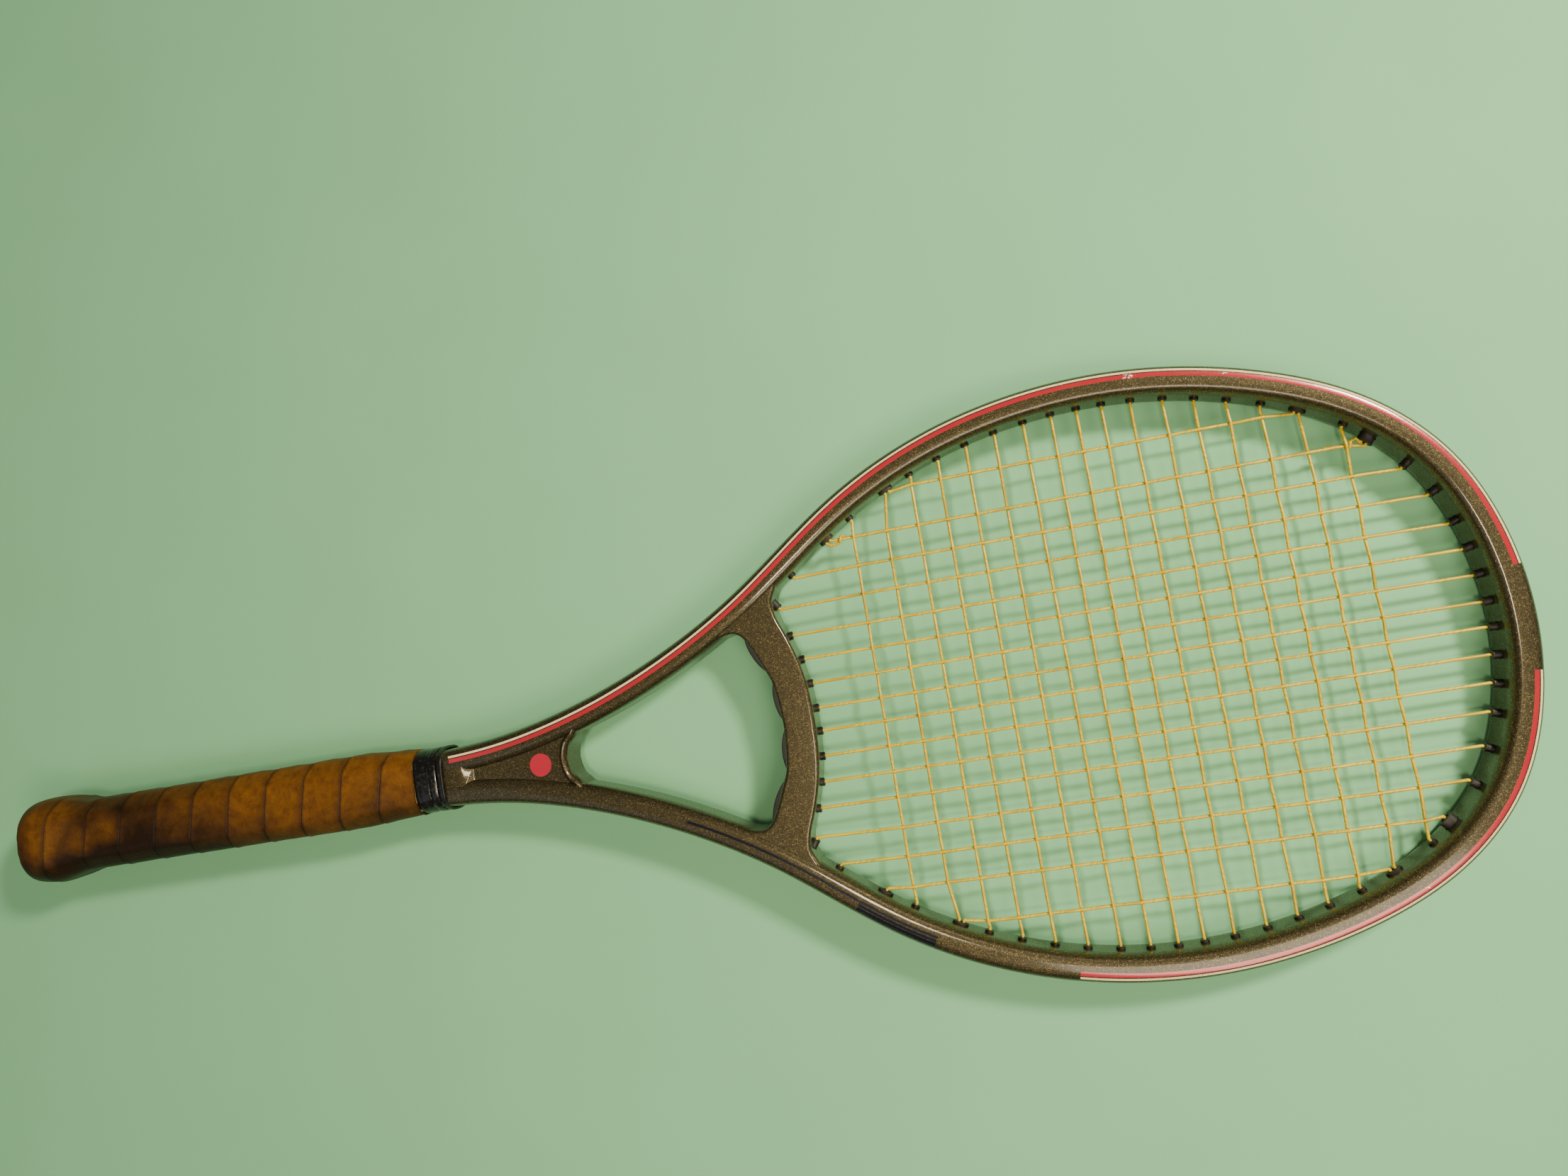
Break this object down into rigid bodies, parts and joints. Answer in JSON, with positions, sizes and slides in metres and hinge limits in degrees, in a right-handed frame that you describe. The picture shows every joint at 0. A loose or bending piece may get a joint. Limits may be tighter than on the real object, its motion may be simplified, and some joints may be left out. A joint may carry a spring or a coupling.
{
  "type": "tennis racket",
  "caption": "Full-size strung racket with an oval hollow hoop, inverted throat bridge, open two-leg throat and an octagonal leather-wrapped handle with a flared butt.",
  "frame": {"origin": "centre of the flat end of the butt", "axes": "+X along the handle to the tip of the head, +Y across the head, +Z square to the string bed, which lies on z = 0"},
  "size_m": [0.6858, 0.2538, 0.0392],
  "materials": {
    "painted_carbon": "dark olive-bronze metallic lacquer over carbon composite",
    "grommet_nylon": "moulded black nylon",
    "string_nylon": "golden yellow monofilament",
    "pallet_foam": "rigid polyurethane foam",
    "cap_plastic": "moulded black plastic",
    "fixing_steel": "bright steel",
    "grip_leather": "worn brown leather, spiral wrapped",
    "gloss_tape": "glossy black tape",
    "collar_rubber": "black rubber"
  },
  "bodies": {
    "root": {"hoop_tube": "painted_carbon", "throat_bridge": "painted_carbon", "throat_wedge": "painted_carbon", "head_grommet_strip": "grommet_nylon", "left_grommet_strip": "grommet_nylon", "right_grommet_strip": "grommet_nylon", "bridge_pad_1": "grommet_nylon", "bridge_pad_2": "grommet_nylon", "bridge_pad_3": "grommet_nylon", "bridge_pad_4": "grommet_nylon", "string": "string_nylon", "front_pallet": "pallet_foam", "back_pallet": "pallet_foam", "butt_cap": "cap_plastic", "butt_door": "cap_plastic", "butt_staple_1": "fixing_steel", "butt_staple_2": "fixing_steel", "grip_tack": "fixing_steel", "leather_grip": "grip_leather", "finishing_tape": "gloss_tape", "collar_ring": "collar_rubber"}
  },
  "joints": []
}
